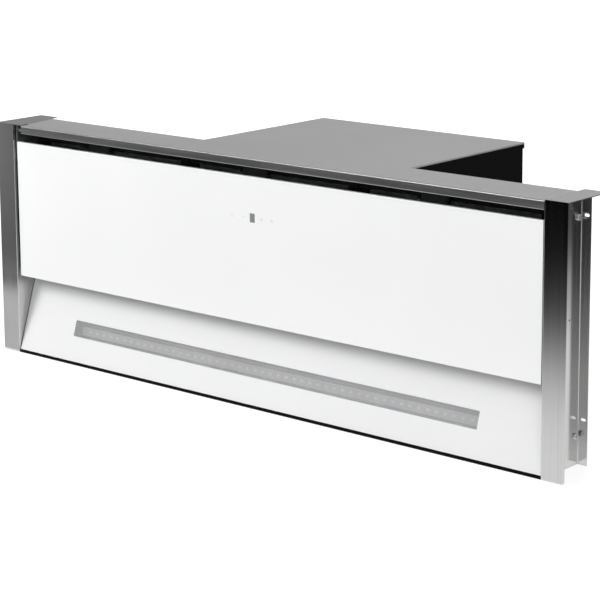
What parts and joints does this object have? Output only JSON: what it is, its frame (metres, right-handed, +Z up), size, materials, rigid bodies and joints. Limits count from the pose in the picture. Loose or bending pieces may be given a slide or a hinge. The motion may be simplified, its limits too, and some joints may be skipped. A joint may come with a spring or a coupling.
{
  "type": "range hood",
  "caption": "Built-in range hood: white glass front between stainless trims, hinged upper pane, leaning lower pane with a long lamp window, and a blower box with a round duct outlet behind.",
  "frame": {"origin": "middle of the rectangle that the hood covers, at its lowest face", "axes": "+X to the right seen from the front, the glass front faces -Y, +Z up"},
  "size_m": [0.898, 0.34, 0.309],
  "materials": {
    "satin_steel": "satin stainless, fine vertical and lengthwise grain",
    "black_steel": "satin black powder coat",
    "bright_zinc": "bright zinc plate",
    "hinge_steel": "bright pressed steel",
    "upper_white_glass": "white back-painted glass, polished",
    "lower_white_glass": "white back-painted glass, polished",
    "frosted_window": "frosted",
    "galvanised_sheet": "galvanised, faint spangle",
    "drawn_aluminium": "drawn, matt",
    "filter_aluminium": "rolled frame",
    "filter_mesh_metal": "expanded mesh in layers",
    "white_board": "white solder mask",
    "diode_yellow": "yellow phosphor",
    "green_board": "green solder mask",
    "white_plastic": "fine matt",
    "latch_plastic": "fine matt",
    "black_plastic": "fine matt",
    "fan_plastic": "moulded, fine matt",
    "motor_casting": "die-cast",
    "bush_bronze": "sintered",
    "display_grey": "smoked, polished",
    "printed_grey": "printed under the glass"
  },
  "bodies": {
    "root": {"top_cover": "satin_steel", "front_chassis": "black_steel", "blower_box": "black_steel", "left_trim": "satin_steel", "right_trim": "satin_steel", "trim_screws": "bright_zinc", "lower_glass": "lower_white_glass", "lower_panel_tray": "galvanised_sheet", "lamp_window": "frosted_window", "lamp_channel": "drawn_aluminium", "led_board": "white_board", "led_chips": "diode_yellow", "led_driver": "white_plastic", "filter_top_rail": "black_steel", "filter_bottom_rail": "black_steel", "filter_frame_left": "filter_aluminium", "filter_frame_middle": "filter_aluminium", "filter_frame_right": "filter_aluminium", "filter_mesh_left": "filter_mesh_metal", "filter_mesh_middle": "filter_mesh_metal", "filter_mesh_right": "filter_mesh_metal", "hinge_bracket_left": "hinge_steel", "hinge_bracket_right": "hinge_steel", "hinge_pins": "bright_zinc", "magnet_catches": "black_plastic", "scroll_left": "fan_plastic", "scroll_right": "fan_plastic", "motor_body": "motor_casting", "motor_bushes": "bush_bronze", "motor_bracket": "galvanised_sheet", "motor_screws": "bright_zinc", "control_box": "black_plastic", "control_box_lid": "black_plastic", "power_board": "green_board", "run_capacitor": "white_plastic", "terminal_block": "white_plastic", "cable_gland": "black_plastic", "gland_nut": "black_plastic", "outlet_collar": "black_plastic", "collar_screws": "bright_zinc", "damper_pins": "bright_zinc", "box_screws": "bright_zinc", "cover_screws": "bright_zinc"},
    "glass_door": {"upper_glass": "upper_white_glass", "door_tray": "galvanised_sheet", "door_strikes": "galvanised_sheet", "touch_module": "black_plastic", "touch_board": "green_board", "display_window": "display_grey", "touch_icons": "printed_grey"},
    "fan_wheel": {"impeller": "fan_plastic", "motor_shaft": "bright_zinc"},
    "damper_left": {"damper_flap_left": "black_plastic"},
    "damper_right": {"damper_flap_right": "black_plastic"},
    "latch_left": {"filter_latch_left": "latch_plastic"},
    "latch_middle": {"filter_latch_middle": "latch_plastic"},
    "latch_right": {"filter_latch_right": "latch_plastic"}
  },
  "joints": [
    {"name": "door_hinge", "type": "hinge", "parent": "root", "child": "glass_door", "pos_m": [0, -0.1565, 0.276], "axis": [-1, 0, 0], "range_deg": [0, 80]},
    {"name": "fan_spin", "type": "hinge", "parent": "root", "child": "fan_wheel", "pos_m": [0, 0.02, 0.125], "axis": [1, 0, 0], "continuous": true},
    {"name": "damper_left_swing", "type": "hinge", "parent": "root", "child": "damper_left", "pos_m": [-0.005, 0.138, 0.212], "axis": [0, 0, -1], "range_deg": [0, 75], "stiffness_Nm_per_rad": 0.004, "springref_deg": -11.46},
    {"name": "damper_right_swing", "type": "hinge", "parent": "root", "child": "damper_right", "pos_m": [0.005, 0.138, 0.212], "axis": [0, 0, 1], "range_deg": [0, 75], "stiffness_Nm_per_rad": 0.004, "springref_deg": -11.46},
    {"name": "latch_left_slide", "type": "slide", "parent": "root", "child": "latch_left", "axis": [0, 0, -1], "range_m": [0, 0.0055], "stiffness_N_per_m": 300, "springref_m": -0.004},
    {"name": "latch_middle_slide", "type": "slide", "parent": "root", "child": "latch_middle", "axis": [0, 0, -1], "range_m": [0, 0.0055], "stiffness_N_per_m": 300, "springref_m": -0.004},
    {"name": "latch_right_slide", "type": "slide", "parent": "root", "child": "latch_right", "axis": [0, 0, -1], "range_m": [0, 0.0055], "stiffness_N_per_m": 300, "springref_m": -0.004}
  ]
}
